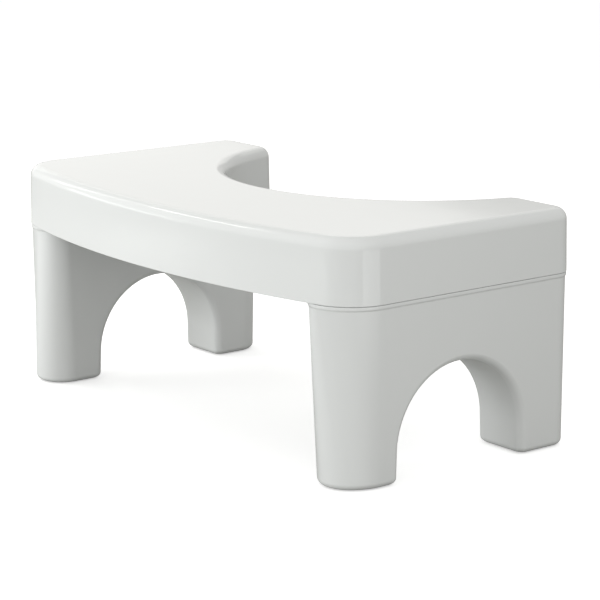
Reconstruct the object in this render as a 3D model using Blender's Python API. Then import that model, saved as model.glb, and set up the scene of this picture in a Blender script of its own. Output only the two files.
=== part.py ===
"""Toilet footstool: a crescent deck on two arched leg frames, with a rubber pad under each foot.

Metres, +Z up. The origin is on the floor, below the middle of the footprint. +X runs along the
stool's length, and +Y points to the back, where the cut-out in the deck takes the toilet's base.
"""

import math

import bmesh
import bpy
from mathutils import Matrix, Vector

# Overall size
LENGTH = 0.420
DEPTH = 0.2368
HEIGHT = 0.177

# Deck outline, seen from above
FRONT_BOW = 0.0298
FRONT_CORNER_RADIUS = 0.036
HORN_OUTER_RADIUS = 0.0145
HORN_INNER_RADIUS = 0.0145
CUTOUT_RADIUS = 0.1485
CUTOUT_DEPTH = 0.1205

# Deck shell
DECK_THICKNESS = 0.003
SKIRT_WALL = 0.0022
SKIRT_HEIGHT = 0.047
SKIRT_TAPER = 0.0008
DECK_EDGE_RADIUS = 0.0088

# Ribs under the deck
RIB_THICKNESS = 0.002
RIB_DEPTH = 0.0225
RIB_SPACING = 0.036
RIB_ROWS = 2
CROSS_RIBS_EACH_SIDE = 4

# Sockets that take the leg frames' necks
SOCKET_LIFT = 0.0005

# Leg frames
FRAME_WIDTH_TOP = 0.052
FRAME_WIDTH_FOOT = 0.0487
FRAME_INNER_FRONT_RADIUS_TOP = 0.0195
FRAME_INNER_FRONT_RADIUS_FOOT = 0.0225
FRAME_INNER_BACK_RADIUS = 0.022
FRAME_DRAFT = 0.0001
BEAD_INSET = 0.0002
BEAD_HEIGHT = 0.0024
BEAD_STEP = 0.0007
BEAD_COVE = 0.0012
NECK_HEIGHT = 0.0195
NECK_WALL = 0.0016
NECK_TAPER = 0.0003
FOOT_EDGE_RADIUS = 0.0045
FOOT_FLOOR = 0.0035

# Feet of a frame, and the arch that takes up the rest of its depth
FRONT_FOOT_DEPTH = 0.0433
BACK_FOOT_DEPTH = 0.0489
ARCH_HEIGHT = 0.079
ARCH_SPRING_HEIGHT = 0.0218
ARCH_JAMB_DRAFT = 0.0004
ARCH_EDGE_RADIUS = 0.004
ARCH_WALL = 0.0028
ARCH_WALL_FLARE = 0.0007

# Webs across the inside of a frame
WEB_THICKNESS = 0.002
WEB_BELOW_SEAM = 0.006
WEB_SHARES = (0.10, 0.36, 0.64, 0.90)

# Foot pads
PAD_DIAMETER = 0.024
PAD_THICKNESS = 0.002
PAD_SHOWS = 0.0007

# Clearances
SEAT_GAP = 0.0003
EDGE_LEAD = 0.0001
OVERRUN = 0.010
WELD = 0.00001
EDGE_LIMIT_SHARE = 0.8

# Facets
FRONT_STEPS = 12
CORNER_STEPS = 8
HORN_STEPS = 6
CUTOUT_STEPS = 16
EDGE_STEPS = 5
ARCH_STEPS = 20
PAD_STEPS = 32
SHARP_ANGLE = math.radians(35)

# Colour and roughness of each finish
GLOSS_WHITE = ((0.80, 0.81, 0.80), 0.18)
SATIN_WHITE = ((0.79, 0.80, 0.79), 0.28)
PALE_RUBBER = ((0.58, 0.59, 0.58), 0.75)

# Heights and places that follow from the sizes above
SEAM = HEIGHT - SKIRT_HEIGHT
FOOT = PAD_SHOWS
FRONT_CORNER_Y = FRONT_BOW - DEPTH / 2
BACK_Y = DEPTH / 2
HALF_LENGTH = LENGTH / 2
DECK_EDGE = min(DECK_EDGE_RADIUS, EDGE_LIMIT_SHARE * min(HORN_INNER_RADIUS, HORN_OUTER_RADIUS))
FRONT_RADIUS = (HALF_LENGTH**2 + FRONT_BOW**2) / (2 * FRONT_BOW)
FRONT_CENTRE_Y = FRONT_CORNER_Y - FRONT_BOW + FRONT_RADIUS
CUTOUT_CENTRE_Y = BACK_Y - CUTOUT_DEPTH + CUTOUT_RADIUS
NECK_INSET = SKIRT_WALL + SEAT_GAP
CAVITY_INSET = NECK_INSET + NECK_WALL
NECK_TOP = SEAM + NECK_HEIGHT
RIB_LOW = HEIGHT - DECK_THICKNESS - RIB_DEPTH
ARCH_WIDTH = DEPTH - FRONT_BOW - FRONT_FOOT_DEPTH - BACK_FOOT_DEPTH
ARCH_FRONT_Y = FRONT_CORNER_Y + FRONT_FOOT_DEPTH
LEG_PLACE = (HALF_LENGTH - FRAME_WIDTH_TOP / 2, (FRONT_CORNER_Y + BACK_Y) / 2, SEAM)


def arc(centre, radius, start, end, steps):
    """Points of an arc, both ends included. Angles are in radians."""
    points = []
    for step in range(steps + 1):
        angle = start + (end - start) * step / steps
        points.append((centre[0] + radius * math.cos(angle), centre[1] + radius * math.sin(angle)))
    return points


def front_corner():
    """Centre of the front corner's arc, and the angle at which the bowed front runs into it."""
    x = HALF_LENGTH - FRONT_CORNER_RADIUS
    y = FRONT_CENTRE_Y - math.sqrt((FRONT_RADIUS - FRONT_CORNER_RADIUS) ** 2 - x**2)
    return (x, y), math.atan2(y - FRONT_CENTRE_Y, x)


def deck_outline(inset):
    """The crescent seen from above, anticlockwise from the middle of the front, moved in by inset."""
    corner, front_end = front_corner()
    horn_y = BACK_Y - HORN_OUTER_RADIUS
    tip_y = BACK_Y - HORN_INNER_RADIUS
    tip_x = math.sqrt((CUTOUT_RADIUS + HORN_INNER_RADIUS) ** 2 - (CUTOUT_CENTRE_Y - tip_y) ** 2)
    tip_end = math.atan2(CUTOUT_CENTRE_Y - tip_y, -tip_x)
    back = math.pi / 2
    half = arc((0, FRONT_CENTRE_Y), FRONT_RADIUS - inset, -back, front_end, FRONT_STEPS)
    half += arc(corner, FRONT_CORNER_RADIUS - inset, front_end, 0, CORNER_STEPS)[1:]
    half += arc((HALF_LENGTH - HORN_OUTER_RADIUS, horn_y), HORN_OUTER_RADIUS - inset, 0, back, HORN_STEPS)
    half += arc((tip_x, tip_y), HORN_INNER_RADIUS - inset, back, tip_end, HORN_STEPS)
    half += arc((0, CUTOUT_CENTRE_Y), CUTOUT_RADIUS + inset, tip_end - math.pi, -back, CUTOUT_STEPS)[1:]
    return half + [(-x, y) for x, y in half[-2:0:-1]]


def frame_outline(inset, z):
    """A right-hand leg frame's outline at height z, anticlockwise from its inner front corner."""
    inner = HALF_LENGTH - frame_width(z)
    corner, corner_start = front_corner()
    drop = (SEAM - z) / SEAM
    radius = FRAME_INNER_FRONT_RADIUS_TOP * (1 - drop) + FRAME_INNER_FRONT_RADIUS_FOOT * drop
    turn_x = inner + radius
    turn_y = FRONT_CENTRE_Y - math.sqrt((FRONT_RADIUS - radius) ** 2 - turn_x**2)
    turn_end = math.atan2(turn_y - FRONT_CENTRE_Y, turn_x)
    if turn_end > corner_start:
        turn_y = corner[1] - math.sqrt((FRONT_CORNER_RADIUS - radius) ** 2 - (turn_x - corner[0]) ** 2)
        turn_end = math.atan2(turn_y - corner[1], turn_x - corner[0])
        corner_start = turn_end
    back = math.pi / 2
    horn = (HALF_LENGTH - HORN_OUTER_RADIUS, BACK_Y - HORN_OUTER_RADIUS)
    inner_back = (inner + FRAME_INNER_BACK_RADIUS, BACK_Y - FRAME_INNER_BACK_RADIUS)
    points = arc((turn_x, turn_y), radius - inset, -math.pi, turn_end, CORNER_STEPS)
    points += arc(corner, FRONT_CORNER_RADIUS - inset, corner_start, 0, CORNER_STEPS)
    points += arc(horn, HORN_OUTER_RADIUS - inset, 0, back, HORN_STEPS)
    points += arc(inner_back, FRAME_INNER_BACK_RADIUS - inset, back, math.pi, HORN_STEPS)
    return points


def frame_width(z):
    """Width of a leg frame along X at height z. Its inner face leans outwards on the way down."""
    return FRAME_WIDTH_FOOT + (FRAME_WIDTH_TOP - FRAME_WIDTH_FOOT) * z / SEAM


def frame_inset(z):
    """How far the body of a leg frame lies inside the skirt's outline at height z."""
    return BEAD_INSET + BEAD_STEP + FRAME_DRAFT * (SEAM - z) / SEAM


def body_inset(z):
    """The same as frame_inset, with the rounding at the bottom of the feet."""
    fall = FOOT_EDGE_RADIUS - min(max(z - FOOT, 0), FOOT_EDGE_RADIUS)
    return frame_inset(z) + FOOT_EDGE_RADIUS - math.sqrt(FOOT_EDGE_RADIUS**2 - fall**2)


def quarter(steps):
    """Angles from zero to a right angle."""
    return [math.pi / 2 * step / steps for step in range(steps + 1)]


def new_object(name, bm, material=None, location=(0, 0, 0)):
    """An object of this mesh, whose points are given relative to location."""
    mesh = bpy.data.meshes.new(name)
    bm.to_mesh(mesh)
    bm.free()
    if material:
        mesh.materials.append(material)
    obj = bpy.data.objects.new(name, mesh)
    obj.location = location
    bpy.context.scene.collection.objects.link(obj)
    return obj


def loft(rings, name, material=None, location=(0, 0, 0)):
    """A closed solid through rings of equally many points, with a flat cap on its first and last ring."""
    bm = bmesh.new()
    loops = [[bm.verts.new(point) for point in ring] for ring in rings]
    for low, high in zip(loops, loops[1:]):
        for index in range(len(low)):
            following = (index + 1) % len(low)
            bm.faces.new((low[index], low[following], high[following], high[index]))
    bm.faces.new(loops[0])
    bm.faces.new(loops[-1])
    bmesh.ops.remove_doubles(bm, verts=bm.verts, dist=WELD)
    bmesh.ops.recalc_face_normals(bm, faces=bm.faces)
    return new_object(name, bm, material, location)


def at_height(points, z):
    """An outline as a ring at height z."""
    return [(x, y, z) for x, y in points]


def box(name, low, high):
    """A box between two opposite corners."""
    bm = bmesh.new()
    bmesh.ops.create_cube(bm, size=1)
    for vert in bm.verts:
        for axis in range(3):
            vert.co[axis] = low[axis] if vert.co[axis] < 0 else high[axis]
    return new_object(name, bm)


def combine(target, other, operation):
    """Applies a Boolean to target and removes the other object."""
    modifier = target.modifiers.new(operation.lower(), "BOOLEAN")
    modifier.operation = operation
    modifier.object = other
    modifier.solver = "EXACT"
    graph = bpy.context.evaluated_depsgraph_get()
    mesh = bpy.data.meshes.new_from_object(target.evaluated_get(graph))
    target.modifiers.clear()
    old = target.data
    target.data = mesh
    bpy.data.meshes.remove(old)
    bpy.data.objects.remove(other)


def mirrored(obj, name, look):
    """A copy of an object for the other end of the stool."""
    bm = bmesh.new()
    bm.from_mesh(obj.data)
    for vert in bm.verts:
        vert.co.x = -vert.co.x
    bmesh.ops.reverse_faces(bm, faces=bm.faces)
    place = (-obj.location.x, obj.location.y, obj.location.z)
    copy = new_object(name, bm, finish(name, look), place)
    smooth(copy)
    return copy


def seat_origin(obj, place):
    """Puts an object's origin at place and leaves its shape where it is."""
    obj.data.transform(Matrix.Translation(-Vector(place)))
    obj.location = place


def attach(child, parent):
    """Parents child to parent and leaves it where it is."""
    child.parent = parent
    child.location = child.location - parent.location


def smooth(obj):
    """Smooth shading that stays sharp at the real edges."""
    obj.data.shade_smooth()
    obj.data.set_sharp_from_angle(angle=SHARP_ANGLE)


def finish(name, look):
    """A plain opaque material of this colour and roughness for the piece of this name."""
    colour, roughness = look
    material = bpy.data.materials.new(name + "_finish")
    material.use_nodes = True
    surface = material.node_tree.nodes["Principled BSDF"]
    surface.inputs["Base Color"].default_value = (*colour, 1)
    surface.inputs["Roughness"].default_value = roughness
    surface.inputs["Metallic"].default_value = 0
    return material


def deck_form(name, wall, thickness, low, material=None):
    """The deck's solid form from height low up, moved in by wall at the sides and down by thickness."""
    radius = DECK_EDGE - wall
    rings = [at_height(deck_outline(wall), low)]
    for angle in quarter(EDGE_STEPS):
        inset = wall + SKIRT_TAPER + radius * (1 - math.cos(angle))
        rings.append(at_height(deck_outline(inset), HEIGHT - thickness - radius * (1 - math.sin(angle))))
    return loft(rings, name, material)


def curved_rib(radius, reach):
    """A rib that runs along the crescent at a distance from the cut-out, as wide as reach to each side."""
    end = -math.pi / 2 + math.asin(min(reach / radius, 1))
    start = -math.pi - end
    centre = (0, CUTOUT_CENTRE_Y)
    thin = RIB_THICKNESS / 2
    points = arc(centre, radius + thin, start, end, CUTOUT_STEPS)
    points += arc(centre, radius - thin, end, start, CUTOUT_STEPS)
    rings = [at_height(points, RIB_LOW), at_height(points, HEIGHT - DECK_THICKNESS / 2)]
    return loft(rings, "curved_rib")


def add_ribs(deck):
    """Cross ribs and curved ribs under the deck, trimmed to run into the middle of the skirt's wall."""
    top = HEIGHT - DECK_THICKNESS / 2
    socket = HALF_LENGTH - FRAME_WIDTH_TOP
    ribs = None
    for row in range(1, RIB_ROWS + 1):
        rib = curved_rib(CUTOUT_RADIUS + row * RIB_SPACING, HALF_LENGTH)
        if ribs is None:
            ribs = rib
        else:
            combine(ribs, rib, "UNION")
    for place in range(-CROSS_RIBS_EACH_SIDE, CROSS_RIBS_EACH_SIDE + 1):
        x = place * RIB_SPACING
        low = (x - RIB_THICKNESS / 2, -DEPTH, RIB_LOW)
        high = (x + RIB_THICKNESS / 2, DEPTH, top + OVERRUN)
        combine(ribs, box("cross_rib", low, high), "UNION")
    for side in (-1, 1):
        ends = sorted((side * (socket - RIB_THICKNESS / 2), side * (socket + SKIRT_WALL)))
        low = (ends[0], -DEPTH, SEAM + SOCKET_LIFT)
        high = (ends[1], DEPTH, top + OVERRUN)
        combine(ribs, box("socket_wall", low, high), "UNION")
    limit = deck_form("rib_limit", SKIRT_WALL / 2, DECK_THICKNESS / 2, SEAM - OVERRUN)
    combine(ribs, limit, "INTERSECT")
    combine(deck, ribs, "UNION")


def build_deck():
    """The deck with its ribs and the walls of its sockets."""
    deck = deck_form("deck", 0, 0, SEAM, finish("deck", GLOSS_WHITE))
    hollow = deck_form("deck_hollow", SKIRT_WALL, DECK_THICKNESS, SEAM - OVERRUN)
    combine(deck, hollow, "DIFFERENCE")
    add_ribs(deck)
    smooth(deck)
    return deck


def arch_profile(grow, floor, edge_radius):
    """The arch in Y and Z, from its front foot round to its back foot, made larger all round by grow.

    The jambs round off into the underside of the feet over edge_radius.
    """
    middle = ARCH_FRONT_Y + ARCH_WIDTH / 2
    spring = ARCH_SPRING_HEIGHT
    half_foot = ARCH_WIDTH / 2 + grow
    half_spring = half_foot - ARCH_JAMB_DRAFT
    rise = ARCH_HEIGHT - spring + grow
    jamb = [(half_foot + edge_radius, floor - OVERRUN)]
    for angle in quarter(EDGE_STEPS):
        rise_here = edge_radius * (1 - math.cos(angle)) - EDGE_LEAD
        jamb.append((half_foot + edge_radius * (1 - math.sin(angle)), floor + rise_here))
    curve = []
    for step in range(ARCH_STEPS + 1):
        angle = math.pi * step / ARCH_STEPS
        curve.append((middle - half_spring * math.cos(angle), spring + rise * math.sin(angle)))
    front = [(middle - across, z) for across, z in jamb]
    back = [(middle + across, z) for across, z in reversed(jamb)]
    return front + curve + back


def arch_cutter():
    """The space of the arch, flared at both faces of the frame so that its edges come out rounded."""
    radius = ARCH_EDGE_RADIUS
    open_ring = arch_profile(radius, FOOT, FOOT_EDGE_RADIUS)
    outward = []
    inward = []
    for angle in quarter(EDGE_STEPS):
        depth = radius * (1 - math.cos(angle)) - EDGE_LEAD
        ring = arch_profile(radius * (1 - math.sin(angle)), FOOT, FOOT_EDGE_RADIUS)
        outward.append([(HALF_LENGTH - body_inset(z) - depth, y, z) for y, z in ring])
        inward.append([(HALF_LENGTH - frame_width(z) + body_inset(z) + depth, y, z) for y, z in ring])
    rings = [[(HALF_LENGTH + OVERRUN, y, z) for y, z in open_ring]] + outward + inward[::-1]
    rings.append([(HALF_LENGTH - FRAME_WIDTH_TOP - OVERRUN, y, z) for y, z in open_ring])
    return loft(rings, "arch")


def frame_body():
    """A right-hand frame without its arch and cavity: feet, sides, bead under the skirt, and neck."""
    rings = []
    for angle in quarter(EDGE_STEPS):
        z = FOOT + FOOT_EDGE_RADIUS * (1 - math.cos(angle))
        rings.append(at_height(frame_outline(body_inset(z), z), z))
    bead_top = SEAM - SEAT_GAP
    bead_low = bead_top - BEAD_HEIGHT
    body_top = bead_low - BEAD_COVE
    rings.append(at_height(frame_outline(frame_inset(body_top), body_top), body_top))
    middle_inset = frame_inset(bead_low) - BEAD_STEP / 4
    rings.append(at_height(frame_outline(middle_inset, SEAM), bead_low - BEAD_COVE / 4))
    rings.append(at_height(frame_outline(BEAD_INSET, SEAM), bead_low + BEAD_HEIGHT / 4))
    rings.append(at_height(frame_outline(BEAD_INSET, SEAM), bead_top))
    rings.append(at_height(frame_outline(NECK_INSET, SEAM), bead_top))
    rings.append(at_height(frame_outline(NECK_INSET + SKIRT_TAPER + NECK_TAPER, SEAM), NECK_TOP))
    return loft(rings, "right_leg_frame", finish("right_leg_frame", SATIN_WHITE))


def frame_cavity():
    """The hollow of a frame, open at the top, which leaves a wall round the arch and webs across."""
    low = FOOT + FOOT_FLOOR
    low_inset = frame_inset(low) + CAVITY_INSET - frame_inset(SEAM)
    top_inset = CAVITY_INSET + SKIRT_TAPER + NECK_TAPER
    rings = [at_height(frame_outline(low_inset, low), low)]
    rings.append(at_height(frame_outline(CAVITY_INSET, SEAM), SEAM))
    rings.append(at_height(frame_outline(top_inset, SEAM), NECK_TOP + OVERRUN))
    cavity = loft(rings, "cavity")
    ends = (HALF_LENGTH - FRAME_WIDTH_TOP - OVERRUN, HALF_LENGTH + OVERRUN)
    profile = arch_profile(ARCH_WALL, low - OVERRUN, ARCH_WALL_FLARE)
    wall = loft([[(end, y, z) for y, z in profile] for end in ends], "arch_wall")
    combine(cavity, wall, "DIFFERENCE")
    for share in WEB_SHARES:
        y = FRONT_CORNER_Y + (BACK_Y - FRONT_CORNER_Y) * share
        near = (ends[0], y - WEB_THICKNESS / 2, -OVERRUN)
        far = (ends[1], y + WEB_THICKNESS / 2, SEAM - WEB_BELOW_SEAM)
        combine(cavity, box("web", near, far), "DIFFERENCE")
    return cavity


def build_frame():
    """A right-hand leg frame with its arch, its webbed hollow and its pad recesses."""
    frame = frame_body()
    combine(frame, arch_cutter(), "DIFFERENCE")
    combine(frame, frame_cavity(), "DIFFERENCE")
    for _, x, y in foot_places():
        points = [(x + across, y + along) for across, along in pad_outline(SEAT_GAP)]
        rings = [at_height(points, -OVERRUN), at_height(points, PAD_THICKNESS + SEAT_GAP)]
        combine(frame, loft(rings, "pad_recess"), "DIFFERENCE")
    seat_origin(frame, LEG_PLACE)
    smooth(frame)
    return frame


def foot_places():
    """Name and middle, in X and Y, of each right-hand foot on the floor."""
    front = min(y for _, y in frame_outline(frame_inset(0), 0))
    x = HALF_LENGTH - frame_width(0) / 2
    return (
        ("front", x, (front + ARCH_FRONT_Y) / 2),
        ("back", x, (ARCH_FRONT_Y + ARCH_WIDTH + BACK_Y - frame_inset(0)) / 2),
    )


def pad_outline(grow):
    """A pad's circle about its own middle, made larger by grow."""
    return arc((0, 0), PAD_DIAMETER / 2 + grow, 0, 2 * math.pi, PAD_STEPS)[:-1]


def build_pad(name, middle):
    """A pad that stands proud of its recess, with its object's origin at its middle on the floor."""
    rings = [at_height(pad_outline(0), 0), at_height(pad_outline(0), PAD_THICKNESS)]
    pad = loft(rings, name, finish(name, PALE_RUBBER), (*middle, 0))
    smooth(pad)
    return pad


def main():
    """Builds the whole stool in an empty scene."""
    for obj in list(bpy.data.objects):
        bpy.data.objects.remove(obj)
    build_deck()
    right = build_frame()
    left = mirrored(right, "left_leg_frame", SATIN_WHITE)
    for place, x, y in foot_places():
        right_pad = build_pad(place + "_right_foot_pad", (x, y))
        left_pad = mirrored(right_pad, place + "_left_foot_pad", PALE_RUBBER)
        attach(right_pad, right)
        attach(left_pad, left)


main()
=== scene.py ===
"""Looks of a white plastic toilet footstool: its glossy deck, its two arched leg frames and its pads.

Metres, +Z up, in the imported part's frame. Overall sizes come from the frame. The rest are named here.
"""

import math

import bmesh
import bpy
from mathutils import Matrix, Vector


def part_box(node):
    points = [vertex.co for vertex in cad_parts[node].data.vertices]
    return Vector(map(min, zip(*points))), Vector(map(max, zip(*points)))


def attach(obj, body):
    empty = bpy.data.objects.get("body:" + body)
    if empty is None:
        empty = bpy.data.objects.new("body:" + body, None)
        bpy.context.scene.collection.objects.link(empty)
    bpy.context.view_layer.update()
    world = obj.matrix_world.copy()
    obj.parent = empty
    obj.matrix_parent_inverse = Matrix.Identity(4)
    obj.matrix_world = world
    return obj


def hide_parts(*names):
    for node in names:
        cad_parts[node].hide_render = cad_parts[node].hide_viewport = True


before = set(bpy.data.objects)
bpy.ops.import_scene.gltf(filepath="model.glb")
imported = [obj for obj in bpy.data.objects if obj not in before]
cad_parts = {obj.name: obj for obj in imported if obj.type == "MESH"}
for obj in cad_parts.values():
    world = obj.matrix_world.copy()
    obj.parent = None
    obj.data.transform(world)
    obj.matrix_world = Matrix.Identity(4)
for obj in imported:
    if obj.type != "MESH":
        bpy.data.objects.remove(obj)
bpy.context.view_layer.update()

# Overall sizes, read from the frame
DECK_LOW, DECK_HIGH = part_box("deck")
PAD_LOW, PAD_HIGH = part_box("front_right_foot_pad")
BACK_PAD_LOW, BACK_PAD_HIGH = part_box("back_right_foot_pad")
FRAME_LOW, FRAME_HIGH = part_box("right_leg_frame")
LENGTH = DECK_HIGH.x - DECK_LOW.x
DEPTH = DECK_HIGH.y - DECK_LOW.y
HEIGHT = DECK_HIGH.z
SEAM = DECK_LOW.z
NECK_TOP = FRAME_HIGH.z
FOOT = FRAME_LOW.z
PAD_RADIUS = (PAD_HIGH.x - PAD_LOW.x) / 2

# Deck outline, seen from above
FRONT_BOW = 0.0298
FRONT_CORNER_RADIUS = 0.036
HORN_OUTER_RADIUS = 0.0145
HORN_INNER_RADIUS = 0.0145
CUTOUT_RADIUS = 0.1485
CUTOUT_DEPTH = 0.1205

# Deck shell
DECK_THICKNESS = 0.003
SKIRT_WALL = 0.0022
SKIRT_TAPER = 0.0008
DECK_EDGE = 0.0088
LIP_RADIUS = 0.0005

# Ribs under the deck, and the sockets' inner walls
RIB_THICKNESS = 0.002
RIB_DEPTH = 0.0225
RIB_SPACING = 0.036
RIB_ROWS = 2
CROSS_RIBS_EACH_SIDE = 4
RIB_EDGE = 0.0003
SOCKET_LIFT = 0.0005

# Leg frames
FRAME_WIDTH_TOP = 0.052
FRAME_WIDTH_FOOT = 0.0487
FRAME_INNER_FRONT_RADIUS_TOP = 0.0195
FRAME_INNER_FRONT_RADIUS_FOOT = 0.0225
FRAME_INNER_BACK_RADIUS = 0.022
FRAME_DRAFT = 0.0001
BEAD_INSET = 0.0002
BEAD_HEIGHT = 0.0024
BEAD_STEP = 0.0007
BEAD_COVE = 0.0012
BEAD_COVE_SHARE = 0.25
BEAD_EDGE_RADIUS = 0.0004
NECK_WALL = 0.0016
NECK_TAPER = 0.0003
FOOT_EDGE_RADIUS = 0.0045
FOOT_FLOOR = 0.0035
WEB_THICKNESS = 0.002
WEB_BELOW_SEAM = 0.006
WEB_SHARES = (0.10, 0.36, 0.64, 0.90)

# Feet of a frame, and the arch that takes up the rest of its depth
FRONT_FOOT_DEPTH = 0.0433
BACK_FOOT_DEPTH = 0.0489
ARCH_HEIGHT = 0.079
ARCH_SPRING_HEIGHT = 0.0218
ARCH_JAMB_DRAFT = 0.0004
ARCH_EDGE_RADIUS = 0.006
ARCH_WALL = 0.0028
ARCH_WALL_FLARE = 0.00045

# Foot pads
PAD_EDGE_RADIUS = 0.0004

# Clearances: gap between pieces, start of a rounded cut off the face, overrun of cutters, weld of points
SEAT_GAP = 0.0003
EDGE_LEAD = 0.0001
OVERRUN = 0.010
WELD = 0.000005

# Facets and shading
FRONT_STEPS = 48
CORNER_STEPS = 24
HORN_STEPS = 16
CUTOUT_STEPS = 64
EDGE_STEPS = 14
LIP_STEPS = 4
RIB_EDGE_STEPS = 2
ARCH_STEPS = 72
PAD_STEPS = 64
SHARP_ANGLE = math.radians(38)
RIB_EDGE_ANGLE = math.radians(50)

# Places that follow from the sizes above
HALF_LENGTH = LENGTH / 2
BACK_Y = DEPTH / 2
FRONT_CORNER_Y = FRONT_BOW - BACK_Y
FRONT_RADIUS = (HALF_LENGTH**2 + FRONT_BOW**2) / (2 * FRONT_BOW)
FRONT_CENTRE_Y = FRONT_CORNER_Y - FRONT_BOW + FRONT_RADIUS
CUTOUT_CENTRE_Y = BACK_Y - CUTOUT_DEPTH + CUTOUT_RADIUS
NECK_INSET = SKIRT_WALL + SEAT_GAP
CAVITY_INSET = NECK_INSET + NECK_WALL
RIB_LOW = HEIGHT - DECK_THICKNESS - RIB_DEPTH
ARCH_WIDTH = DEPTH - FRONT_BOW - FRONT_FOOT_DEPTH - BACK_FOOT_DEPTH
ARCH_FRONT_Y = FRONT_CORNER_Y + FRONT_FOOT_DEPTH
STOOL_MIDDLE = Vector((0, 0, HEIGHT / 2))

# Plastics: two tints, roughness where they shine most and least, and depth of the slow waves
GLOSS_TINTS = ((0.80, 0.812, 0.808), (0.79, 0.802, 0.798))
GLOSS_ROUGHNESS = (0.07, 0.10)
GLOSS_WAVE_DEPTH = 0.00003
SATIN_TINTS = ((0.79, 0.802, 0.798), (0.78, 0.792, 0.788))
SATIN_ROUGHNESS = (0.22, 0.26)
SATIN_WAVE_DEPTH = 0.00002
GRAIN_DEPTH = 0.0000005
PLASTIC_IOR = 1.49

# Rubber
RUBBER_TINTS = ((0.60, 0.61, 0.60), (0.52, 0.53, 0.52))
RUBBER_ROUGHNESS = (0.65, 0.85)
STIPPLE_DEPTH = 0.00008

# Noises: features to a metre, octaves of detail and how rough these are
CLOUDS = (14, 3, 0.5)
SMEARS = (45, 4, 0.6)
WAVES = (28, 1, 0.5)
GRAIN = (1400, 2, 0.5)
RUBBER_CLOUDS = (120, 3, 0.5)
STIPPLE = (2200, 1, 0.5)
NOISE_LOW = 0.3
NOISE_HIGH = 0.7

# Floor and backdrop, as the camera sees them and as the light does
WHITE = (1, 1, 1)
WARM = (1.0, 0.995, 0.97)
COOL = (0.985, 1.0, 1.0)
WORLD_SHOWN = 1
WORLD_LIGHT = 0.57
WORLD_SHINE = 0.69
FLOOR_REACH = 6
FLOOR_SHOWN = (0.9, 0.9, 0.9)
FLOOR_BOUNCE = (0.40, 0.40, 0.385)
FLOOR_LIFT = 0.5
FLOOR_ROUGHNESS = 0.9
FLOOR_SHINE = 0.1

# Lamps: name, azimuth, elevation, distance from the stool's middle, width, height, roll, watts and colour
LAMPS = (
    ("left_high", -72, 38, 1.0, 0.5, 0.5, 0, 1.75, WARM),
    ("left_low", -100, 8, 1.0, 0.34, 0.4, 0, 1.1, COOL),
    ("front_left_low", -45, 8, 1.0, 0.34, 0.4, 0, 2.6, COOL),
    ("front_low", 0, 8, 1.0, 0.34, 0.4, 0, 2.48, COOL),
    ("front_right_low", 60, 8, 1.0, 0.34, 0.4, 0, 0.89, COOL),
    ("right_high", 90, 38, 1.0, 0.5, 0.5, 0, 1.2, COOL),
)
LIT_CARD = ("card_behind", -118.7, 20.1, 1.68, 1.35, 0.7, -21, 1.55, WARM)
REFLECTED_CARDS = (
    ("side_strip", -79, 27, 2.0, 0.13, 0.78, 0, 0.6, WARM),
    ("side_strip_top", -64, 43, 2.0, 0.74, 0.13, 30, 1.8, WARM),
    ("front_strip", -58, 9, 2.0, 0.9, 0.13, 0, 0.95, COOL),
    ("high_card_behind", -135, 38, 2.0, 2.2, 0.7, 0, 2.4, WARM),
    ("end_card", 90, -2.4, 0.685, 0.38, 0.115, 0, 0.2, COOL),
)

# Camera, from the photograph's perspective
VIEW_AZIMUTH = 51.91
VIEW_ELEVATION = 12.70
VIEW_DISTANCE = 1.7497
VIEW_CENTRE = Vector((0.0033, 0.0286, 0.0844))
LENS_MM = 136.07
SENSOR_MM = 36


def arc(centre, radius, start, end, steps):
    """Points of an arc, both ends included. Angles are in radians."""
    points = []
    for step in range(steps + 1):
        angle = start + (end - start) * step / steps
        points.append((centre[0] + radius * math.cos(angle), centre[1] + radius * math.sin(angle)))
    return points


def quarter_round(radius, steps):
    """A rounded edge as distances in from its side and down from its top, from its side upwards."""
    angles = [math.pi / 2 * step / steps for step in range(steps + 1)]
    return [(radius * (1 - math.cos(angle)), radius * (1 - math.sin(angle))) for angle in angles]


def front_corner():
    """Centre of the front corner's arc, and the angle at which the bowed front runs into it."""
    x = HALF_LENGTH - FRONT_CORNER_RADIUS
    y = FRONT_CENTRE_Y - math.sqrt((FRONT_RADIUS - FRONT_CORNER_RADIUS) ** 2 - x**2)
    return (x, y), math.atan2(y - FRONT_CENTRE_Y, x)


def deck_outline(inset):
    """The crescent seen from above, anticlockwise from the middle of the front, moved in by inset."""
    corner, front_end = front_corner()
    horn_y = BACK_Y - HORN_OUTER_RADIUS
    tip_y = BACK_Y - HORN_INNER_RADIUS
    tip_x = math.sqrt((CUTOUT_RADIUS + HORN_INNER_RADIUS) ** 2 - (CUTOUT_CENTRE_Y - tip_y) ** 2)
    tip_end = math.atan2(CUTOUT_CENTRE_Y - tip_y, -tip_x)
    back = math.pi / 2
    half = arc((0, FRONT_CENTRE_Y), FRONT_RADIUS - inset, -back, front_end, FRONT_STEPS)
    half += arc(corner, FRONT_CORNER_RADIUS - inset, front_end, 0, CORNER_STEPS)[1:]
    half += arc((HALF_LENGTH - HORN_OUTER_RADIUS, horn_y), HORN_OUTER_RADIUS - inset, 0, back, HORN_STEPS)
    half += arc((tip_x, tip_y), HORN_INNER_RADIUS - inset, back, tip_end, HORN_STEPS)
    half += arc((0, CUTOUT_CENTRE_Y), CUTOUT_RADIUS + inset, tip_end - math.pi, -back, CUTOUT_STEPS)[1:]
    return half + [(-x, y) for x, y in half[-2:0:-1]]


def frame_width(z):
    """Width of a leg frame along X at height z. Its inner face leans outwards on the way down."""
    return FRAME_WIDTH_FOOT + (FRAME_WIDTH_TOP - FRAME_WIDTH_FOOT) * z / SEAM


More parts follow.
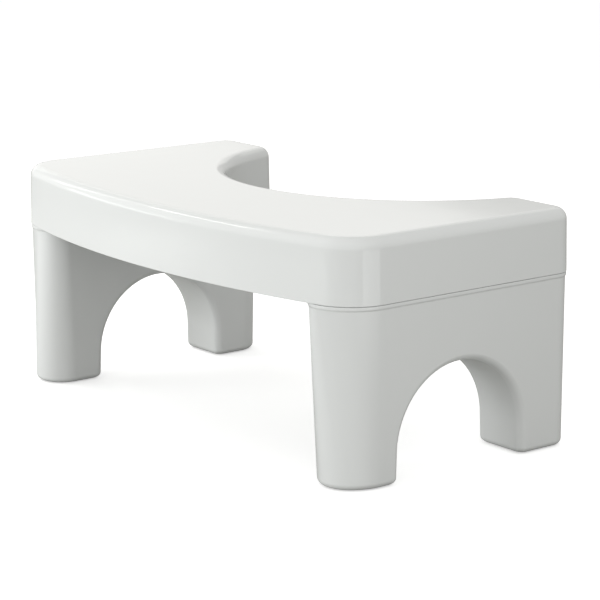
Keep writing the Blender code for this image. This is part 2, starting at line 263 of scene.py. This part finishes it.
def frame_inset(z):
    """How far the body of a leg frame lies inside the skirt's outline at height z."""
    return BEAD_INSET + BEAD_STEP + FRAME_DRAFT * (SEAM - z) / SEAM


def body_inset(z):
    """The same as frame_inset, with the rounding at the bottom of the feet."""
    fall = FOOT_EDGE_RADIUS - min(max(z - FOOT, 0), FOOT_EDGE_RADIUS)
    return frame_inset(z) + FOOT_EDGE_RADIUS - math.sqrt(FOOT_EDGE_RADIUS**2 - fall**2)


def frame_outline(inset, z):
    """A right-hand leg frame's outline at height z, anticlockwise from its inner front corner.

    Near the seam the inner front corner meets the bow, and further down it meets the outer corner's arc.
    """
    inner = HALF_LENGTH - frame_width(z)
    corner, corner_start = front_corner()
    drop = (SEAM - z) / SEAM
    radius = FRAME_INNER_FRONT_RADIUS_TOP * (1 - drop) + FRAME_INNER_FRONT_RADIUS_FOOT * drop
    turn_x = inner + radius
    turn_y = FRONT_CENTRE_Y - math.sqrt((FRONT_RADIUS - radius) ** 2 - turn_x**2)
    turn_end = math.atan2(turn_y - FRONT_CENTRE_Y, turn_x)
    if turn_end > corner_start:
        turn_y = corner[1] - math.sqrt((FRONT_CORNER_RADIUS - radius) ** 2 - (turn_x - corner[0]) ** 2)
        turn_end = math.atan2(turn_y - corner[1], turn_x - corner[0])
        corner_start = turn_end
    back = math.pi / 2
    horn = (HALF_LENGTH - HORN_OUTER_RADIUS, BACK_Y - HORN_OUTER_RADIUS)
    inner_back = (inner + FRAME_INNER_BACK_RADIUS, BACK_Y - FRAME_INNER_BACK_RADIUS)
    points = arc((turn_x, turn_y), radius - inset, -math.pi, turn_end, CORNER_STEPS)
    points += arc(corner, FRONT_CORNER_RADIUS - inset, corner_start, 0, CORNER_STEPS)
    points += arc(horn, HORN_OUTER_RADIUS - inset, 0, back, HORN_STEPS)
    points += arc(inner_back, FRAME_INNER_BACK_RADIUS - inset, back, math.pi, HORN_STEPS)
    return points


def at_height(points, z):
    """An outline as a ring at height z."""
    return [(x, y, z) for x, y in points]


def new_object(name, bm):
    """An object of this mesh, with its faces turned outwards."""
    bmesh.ops.recalc_face_normals(bm, faces=bm.faces)
    mesh = bpy.data.meshes.new(name)
    bm.to_mesh(mesh)
    bm.free()
    obj = bpy.data.objects.new(name, mesh)
    bpy.context.scene.collection.objects.link(obj)
    return obj


def loft(rings, name):
    """A closed solid through rings of equally many points, with a flat cap on its first and last ring."""
    bm = bmesh.new()
    loops = [[bm.verts.new(point) for point in ring] for ring in rings]
    for low, high in zip(loops, loops[1:]):
        for index in range(len(low)):
            following = (index + 1) % len(low)
            bm.faces.new((low[index], low[following], high[following], high[index]))
    bm.faces.new(loops[0])
    bm.faces.new(loops[-1])
    bmesh.ops.remove_doubles(bm, verts=bm.verts, dist=WELD)
    return new_object(name, bm)


def box(name, low, high):
    """A box between two opposite corners."""
    bm = bmesh.new()
    bmesh.ops.create_cube(bm, size=1)
    for vert in bm.verts:
        for axis in range(3):
            vert.co[axis] = low[axis] if vert.co[axis] < 0 else high[axis]
    return new_object(name, bm)


def mirrored(obj, name):
    """A copy of an object for the other end of the stool."""
    bm = bmesh.new()
    bm.from_mesh(obj.data)
    for vert in bm.verts:
        vert.co.x = -vert.co.x
    return new_object(name, bm)


def apply_modifiers(obj):
    """Makes an object's mesh what its modifiers give."""
    graph = bpy.context.evaluated_depsgraph_get()
    mesh = bpy.data.meshes.new_from_object(obj.evaluated_get(graph))
    obj.modifiers.clear()
    old = obj.data
    obj.data = mesh
    bpy.data.meshes.remove(old)


def combine(target, other, operation):
    """Applies a Boolean to target and removes the other object."""
    modifier = target.modifiers.new(operation.lower(), "BOOLEAN")
    modifier.operation = operation
    modifier.object = other
    modifier.solver = "EXACT"
    apply_modifiers(target)
    bpy.data.objects.remove(other)


def shade(obj):
    """Smooth shading that keeps sharp edges sharp, and flat faces flat up to the rounding beside them."""
    obj.data.shade_smooth()
    obj.data.set_sharp_from_angle(angle=SHARP_ANGLE)
    normals = obj.modifiers.new("even_normals", "WEIGHTED_NORMAL")
    normals.keep_sharp = True


def finish_piece(obj, material, slot, body, *nodes):
    """Gives a piece its material, seats it on a body and lets it stand for these CAD nodes. The slot is not
    used.
    """
    obj.data.materials.clear()
    obj.data.materials.append(material)
    shade(obj)
    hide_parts(*nodes)
    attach(obj, body)


def deck_form(name, wall, thickness, low):
    """The deck's solid form from height low up, moved in by wall at the sides and down by thickness."""
    rings = [at_height(deck_outline(wall), low)]
    for across, down in quarter_round(DECK_EDGE - wall, EDGE_STEPS):
        rings.append(at_height(deck_outline(wall + SKIRT_TAPER + across), HEIGHT - thickness - down))
    return loft(rings, name)


def deck_shell():
    """The moulded shell: its inside, its rounded lip, its skirt, its rounded edge and its flat top."""
    rings = []
    for across, down in reversed(quarter_round(DECK_EDGE - SKIRT_WALL, EDGE_STEPS)):
        inset = SKIRT_WALL + SKIRT_TAPER + across
        rings.append(at_height(deck_outline(inset), HEIGHT - DECK_THICKNESS - down))
    for across, up in quarter_round(LIP_RADIUS, LIP_STEPS):
        rings.append(at_height(deck_outline(SKIRT_WALL - across), SEAM + up))
    for across, up in reversed(quarter_round(LIP_RADIUS, LIP_STEPS)):
        rings.append(at_height(deck_outline(across), SEAM + up))
    for across, down in quarter_round(DECK_EDGE, EDGE_STEPS):
        rings.append(at_height(deck_outline(SKIRT_TAPER + across), HEIGHT - down))
    return loft(rings, "deck_shell")


def curved_rib(row):
    """A rib that runs along the crescent, this many spacings away from the cut-out."""
    radius = CUTOUT_RADIUS + row * RIB_SPACING
    end = -math.pi / 2 + math.asin(min(HALF_LENGTH / radius, 1))
    start = -math.pi - end
    centre = (0, CUTOUT_CENTRE_Y)
    thin = RIB_THICKNESS / 2
    points = arc(centre, radius + thin, start, end, CUTOUT_STEPS)
    points += arc(centre, radius - thin, end, start, CUTOUT_STEPS)
    rings = [at_height(points, RIB_LOW), at_height(points, HEIGHT - DECK_THICKNESS / 2)]
    return loft(rings, "curved_rib")


def deck_ribs():
    """The ribs and the sockets' inner walls under the deck, trimmed to end inside the skirt's wall."""
    top = HEIGHT - DECK_THICKNESS / 2 + OVERRUN
    socket = HALF_LENGTH - FRAME_WIDTH_TOP
    ribs = curved_rib(1)
    for row in range(2, RIB_ROWS + 1):
        combine(ribs, curved_rib(row), "UNION")
    for place in range(-CROSS_RIBS_EACH_SIDE, CROSS_RIBS_EACH_SIDE + 1):
        x = place * RIB_SPACING
        low = (x - RIB_THICKNESS / 2, -DEPTH, RIB_LOW)
        high = (x + RIB_THICKNESS / 2, DEPTH, top)
        combine(ribs, box("cross_rib", low, high), "UNION")
    for side in (-1, 1):
        ends = sorted((side * (socket - RIB_THICKNESS / 2), side * (socket + SKIRT_WALL)))
        low = (ends[0], -DEPTH, SEAM + SOCKET_LIFT)
        high = (ends[1], DEPTH, top)
        combine(ribs, box("socket_wall", low, high), "UNION")
    limit = deck_form("rib_limit", SKIRT_WALL / 2, DECK_THICKNESS / 2, SEAM - OVERRUN)
    combine(ribs, limit, "INTERSECT")
    ribs.name = "deck_ribs"
    round_rib_edges(ribs)
    return ribs


def round_rib_edges(ribs):
    """Rounds the ribs' sharp edges a little."""
    bevel = ribs.modifiers.new("soft_edges", "BEVEL")
    bevel.width = RIB_EDGE
    bevel.segments = RIB_EDGE_STEPS
    bevel.limit_method = "ANGLE"
    bevel.angle_limit = RIB_EDGE_ANGLE
    bevel.use_clamp_overlap = True
    apply_modifiers(ribs)


def arch_profile(grow, floor, edge_radius):
    """The arch in Y and Z, from its front foot round to its back foot, made larger all round by grow.

    The jambs round off into the underside of the feet over edge_radius.
    """
    middle = ARCH_FRONT_Y + ARCH_WIDTH / 2
    spring = ARCH_SPRING_HEIGHT
    half_foot = ARCH_WIDTH / 2 + grow
    half_spring = half_foot - ARCH_JAMB_DRAFT
    rise = ARCH_HEIGHT - spring + grow
    jamb = [(half_foot + edge_radius, floor - OVERRUN)]
    for up, across in quarter_round(edge_radius, EDGE_STEPS):
        jamb.append((half_foot + across, floor + (up - EDGE_LEAD)))
    curve = []
    for step in range(ARCH_STEPS + 1):
        angle = math.pi * step / ARCH_STEPS
        curve.append((middle - half_spring * math.cos(angle), spring + rise * math.sin(angle)))
    front = [(middle - across, z) for across, z in jamb]
    back = [(middle + across, z) for across, z in reversed(jamb)]
    return front + curve + back


def arch_cutter():
    """The space of the arch, flared at both faces of the frame so that its edges come out rounded."""
    open_ring = arch_profile(ARCH_EDGE_RADIUS, FOOT, FOOT_EDGE_RADIUS)
    outward = []
    inward = []
    for across, grow in quarter_round(ARCH_EDGE_RADIUS, EDGE_STEPS):
        depth = across - EDGE_LEAD
        ring = arch_profile(grow, FOOT, FOOT_EDGE_RADIUS)
        outward.append([(HALF_LENGTH - body_inset(z) - depth, y, z) for y, z in ring])
        inward.append([(HALF_LENGTH - frame_width(z) + body_inset(z) + depth, y, z) for y, z in ring])
    rings = [[(HALF_LENGTH + OVERRUN, y, z) for y, z in open_ring]] + outward + inward[::-1]
    rings.append([(HALF_LENGTH - FRAME_WIDTH_TOP - OVERRUN, y, z) for y, z in open_ring])
    return loft(rings, "arch")


def frame_body():
    """A right-hand frame without its arch and cavity: feet, sides, bead under the skirt, and neck."""
    rings = []
    for up, _ in quarter_round(FOOT_EDGE_RADIUS, EDGE_STEPS):
        z = FOOT + up
        rings.append(at_height(frame_outline(body_inset(z), z), z))
    bead_top = SEAM - SEAT_GAP
    bead_low = bead_top - BEAD_HEIGHT
    cove_low = bead_low - BEAD_COVE
    cove_high = bead_low + BEAD_HEIGHT * BEAD_COVE_SHARE
    for step in range(EDGE_STEPS + 1):
        share = step / EDGE_STEPS
        ease = (1 - math.cos(math.pi * share)) / 2
        z = cove_low + (cove_high - cove_low) * share
        inset = frame_inset(cove_low) + (BEAD_INSET - frame_inset(cove_low)) * ease
        rings.append(at_height(frame_outline(inset, z), z))
    for across, down in quarter_round(BEAD_EDGE_RADIUS, LIP_STEPS):
        rings.append(at_height(frame_outline(BEAD_INSET + across, SEAM), bead_top - down))
    rings.append(at_height(frame_outline(NECK_INSET, SEAM), bead_top))
    rings.append(at_height(frame_outline(NECK_INSET + SKIRT_TAPER + NECK_TAPER, SEAM), NECK_TOP))
    return loft(rings, "right_leg_shell")


def frame_cavity():
    """The hollow of a frame, open at the top, which leaves a wall round the arch and webs across."""
    low = FOOT + FOOT_FLOOR
    low_inset = frame_inset(low) + CAVITY_INSET - frame_inset(SEAM)
    top_inset = CAVITY_INSET + SKIRT_TAPER + NECK_TAPER
    rings = [at_height(frame_outline(low_inset, low), low)]
    rings.append(at_height(frame_outline(CAVITY_INSET, SEAM), SEAM))
    rings.append(at_height(frame_outline(top_inset, SEAM), NECK_TOP + OVERRUN))
    cavity = loft(rings, "cavity")
    ends = (HALF_LENGTH - FRAME_WIDTH_TOP - OVERRUN, HALF_LENGTH + OVERRUN)
    profile = arch_profile(ARCH_WALL, low - OVERRUN, ARCH_WALL_FLARE)
    wall = loft([[(end, y, z) for y, z in profile] for end in ends], "arch_wall")
    combine(cavity, wall, "DIFFERENCE")
    for share in WEB_SHARES:
        y = FRONT_CORNER_Y + (BACK_Y - FRONT_CORNER_Y) * share
        near = (ends[0], y - WEB_THICKNESS / 2, -OVERRUN)
        far = (ends[1], y + WEB_THICKNESS / 2, SEAM - WEB_BELOW_SEAM)
        combine(cavity, box("web", near, far), "DIFFERENCE")
    return cavity


def pad_places():
    """Middle, in X and Y, of each right-hand pad, read from the frame."""
    front = (PAD_LOW + PAD_HIGH) / 2
    back = (BACK_PAD_LOW + BACK_PAD_HIGH) / 2
    return {"front": (front.x, front.y), "back": (back.x, back.y)}


def circle(middle, radius):
    """Points of a full circle."""
    return arc(middle, radius, 0, 2 * math.pi, PAD_STEPS)[:-1]


def leg_shell():
    """A right-hand leg frame with its arch, its webbed hollow and its pad recesses."""
    shell = frame_body()
    combine(shell, arch_cutter(), "DIFFERENCE")
    combine(shell, frame_cavity(), "DIFFERENCE")
    for middle in pad_places().values():
        points = circle(middle, PAD_RADIUS + SEAT_GAP)
        rings = [at_height(points, -OVERRUN), at_height(points, PAD_HIGH.z + SEAT_GAP)]
        combine(shell, loft(rings, "pad_recess"), "DIFFERENCE")
    return shell


def pad_disc(name, middle):
    """A rubber disc with rounded edges, from the floor up."""
    rings = []
    for up, across in quarter_round(PAD_EDGE_RADIUS, LIP_STEPS):
        rings.append(at_height(circle(middle, PAD_RADIUS - across), up))
    for across, down in quarter_round(PAD_EDGE_RADIUS, LIP_STEPS):
        rings.append(at_height(circle(middle, PAD_RADIUS - across), PAD_HIGH.z - down))
    return loft(rings, name)


def set_inputs(tree, node, **inputs):
    """Sets a node's inputs, named with _ for a space, to values, or links them to other nodes' outputs."""
    for name, value in inputs.items():
        socket = node.inputs[name.replace("_", " ")]
        if isinstance(value, bpy.types.NodeSocket):
            tree.links.new(value, socket)
        else:
            socket.default_value = value


def add_node(tree, kind, **inputs):
    """A shader node of this kind, with these inputs set or linked."""
    node = tree.nodes.new("ShaderNode" + kind)
    set_inputs(tree, node, **inputs)
    return node


def noise(tree, kind):
    """A value from a noise of this kind, which stays with the piece."""
    scale, detail, roughness = kind
    place = add_node(tree, "TexCoord").outputs["Object"]
    node = add_node(tree, "TexNoise", Vector=place, Scale=scale, Detail=detail, Roughness=roughness)
    return node.outputs["Fac"]


def spread(tree, source, low, high, from_low=NOISE_LOW, from_high=NOISE_HIGH):
    """A value that goes from low to high as the source goes from from_low to from_high."""
    node = add_node(
        tree, "MapRange", Value=source, From_Min=from_low, From_Max=from_high, To_Min=low, To_Max=high
    )
    return node.outputs["Result"]


def choose(tree, condition, value, otherwise):
    """One value where a condition is 1, and another where it is 0."""
    return spread(tree, condition, otherwise, value, 0, 1)


def tint(tree, source, low, high):
    """A colour that goes from low to high as the source goes from 0 to 1."""
    node = add_node(tree, "Mix")
    node.data_type = "RGBA"
    colours = [socket for socket in node.inputs if socket.type == "RGBA"]
    colours[0].default_value = (*low, 1)
    colours[1].default_value = (*high, 1)
    set_inputs(tree, node, Factor=source)
    return next(socket for socket in node.outputs if socket.type == "RGBA")


def bump(tree, source, depth, below=None):
    """A bump of this depth in metres, on top of the one below it where there is one."""
    node = add_node(tree, "Bump", Height=source, Strength=1, Distance=depth)
    if below:
        set_inputs(tree, node, Normal=below)
    return node.outputs["Normal"]


def new_material(name):
    """A material, its node tree and its Principled BSDF node."""
    material = bpy.data.materials.new(name)
    material.use_nodes = True
    tree = material.node_tree
    return material, tree, tree.nodes["Principled BSDF"]


def moulded_plastic(name, tints, roughness, wave_depth):
    """White moulded plastic: faint cloudiness, uneven gloss, slow waves in the surface and a fine grain."""
    material, tree, surface = new_material(name)
    colour = tint(tree, noise(tree, CLOUDS), *tints)
    rough = spread(tree, noise(tree, SMEARS), *roughness)
    waves = bump(tree, noise(tree, WAVES), wave_depth)
    grain = bump(tree, noise(tree, GRAIN), GRAIN_DEPTH, waves)
    set_inputs(tree, surface, Base_Color=colour, Roughness=rough, Normal=grain, IOR=PLASTIC_IOR)
    return material


def pad_rubber():
    """Matt pale grey rubber with a fine stipple."""
    material, tree, surface = new_material("pale_rubber")
    clouds = noise(tree, RUBBER_CLOUDS)
    colour = tint(tree, clouds, *RUBBER_TINTS)
    rough = spread(tree, clouds, *RUBBER_ROUGHNESS)
    stipple = bump(tree, noise(tree, STIPPLE), STIPPLE_DEPTH)
    set_inputs(tree, surface, Base_Color=colour, Roughness=rough, Normal=stipple)
    return material


def build_pieces():
    """Builds every piece and seats it on its body."""
    gloss = moulded_plastic("gloss_white", GLOSS_TINTS, GLOSS_ROUGHNESS, GLOSS_WAVE_DEPTH)
    satin = moulded_plastic("satin_white", SATIN_TINTS, SATIN_ROUGHNESS, SATIN_WAVE_DEPTH)
    rubber = pad_rubber()
    finish_piece(deck_shell(), gloss, "gloss_white", "deck", "deck")
    finish_piece(deck_ribs(), gloss, "gloss_white", "deck", "deck")
    right = leg_shell()
    left = mirrored(right, "left_leg_shell")
    finish_piece(right, satin, "satin_white", "right_leg", "right_leg_frame")
    finish_piece(left, satin, "satin_white", "left_leg", "left_leg_frame")
    for place, middle in pad_places().items():
        for side, sign in (("right", 1), ("left", -1)):
            pad = pad_disc(place + "_" + side + "_pad", (sign * middle[0], middle[1]))
            finish_piece(pad, rubber, "pale_rubber", side + "_leg", place + "_" + side + "_foot_pad")


def pale_floor():
    """A wide white floor, lifted a little for the camera so that only the stool's shadow shows on it."""
    bm = bmesh.new()
    bmesh.ops.create_grid(bm, x_segments=1, y_segments=1, size=FLOOR_REACH)
    floor = new_object("floor", bm)
    material, tree, surface = new_material("white_floor")
    seen = add_node(tree, "LightPath").outputs["Is Camera Ray"]
    set_inputs(
        tree,
        surface,
        Base_Color=tint(tree, seen, FLOOR_BOUNCE, FLOOR_SHOWN),
        Roughness=FLOOR_ROUGHNESS,
        Specular_IOR_Level=FLOOR_SHINE,
        Emission_Color=(*WHITE, 1),
        Emission_Strength=choose(tree, seen, FLOOR_LIFT, 0),
    )
    floor.data.materials.append(material)


def white_world():
    """A white backdrop for the camera, and a softer one for light and for reflections."""
    world = bpy.data.worlds.new("studio")
    bpy.context.scene.world = world
    world.use_nodes = True
    tree = world.node_tree
    path = add_node(tree, "LightPath")
    seen = path.outputs["Is Camera Ray"]
    unseen_strength = choose(tree, path.outputs["Is Glossy Ray"], WORLD_SHINE, WORLD_LIGHT)
    strength = choose(tree, seen, WORLD_SHOWN, unseen_strength)
    set_inputs(tree, tree.nodes["Background"], Color=tint(tree, seen, WARM, WHITE), Strength=strength)


def aim(obj, centre, azimuth, elevation, distance):
    """Puts an object this far from the centre, looking at it.

    Angles are in degrees. Azimuth 0 is in front of the stool, and 90 is beyond its right-hand end.
    """
    around = math.radians(azimuth)
    up = math.radians(elevation)
    away = Vector((math.sin(around) * math.cos(up), -math.cos(around) * math.cos(up), math.sin(up)))
    obj.location = centre + away * distance
    obj.rotation_euler = away.to_track_quat("Z", "Y").to_euler()


def add_camera():
    """The camera of the photograph."""
    lens = bpy.data.cameras.new("camera")
    lens.lens = LENS_MM
    lens.sensor_width = SENSOR_MM
    camera = bpy.data.objects.new("camera", lens)
    aim(camera, VIEW_CENTRE, VIEW_AZIMUTH, VIEW_ELEVATION, VIEW_DISTANCE)
    bpy.context.scene.collection.objects.link(camera)
    bpy.context.scene.camera = camera


def softbox(row, lights, shows):
    """A rectangular lamp from its row of values, aimed at the stool's middle, upright before its roll.

    It lights the stool, shows as a reflection in it, or both.
    """
    name, azimuth, elevation, distance, width, height, roll, watts, colour = row
    lamp = bpy.data.lights.new(name, "AREA")
    lamp.shape = "RECTANGLE"
    lamp.size = width
    lamp.size_y = height
    lamp.energy = watts
    lamp.color = colour
    obj = bpy.data.objects.new(name, lamp)
    aim(obj, STOOL_MIDDLE, azimuth, elevation, distance)
    obj.rotation_euler.rotate_axis("Z", math.radians(roll))
    obj.visible_camera = False
    obj.visible_glossy = shows
    obj.visible_diffuse = lights
    bpy.context.scene.collection.objects.link(obj)


def add_light():
    """Soft studio light: lamps that don't show, a card that lights and shows, and cards that only show."""
    for lamp in LAMPS:
        softbox(lamp, lights=True, shows=False)
    softbox(LIT_CARD, lights=True, shows=True)
    for card in REFLECTED_CARDS:
        softbox(card, lights=False, shows=True)


build_pieces()
pale_floor()
white_world()
add_camera()
add_light()
bpy.context.scene.view_settings.view_transform = "Standard"
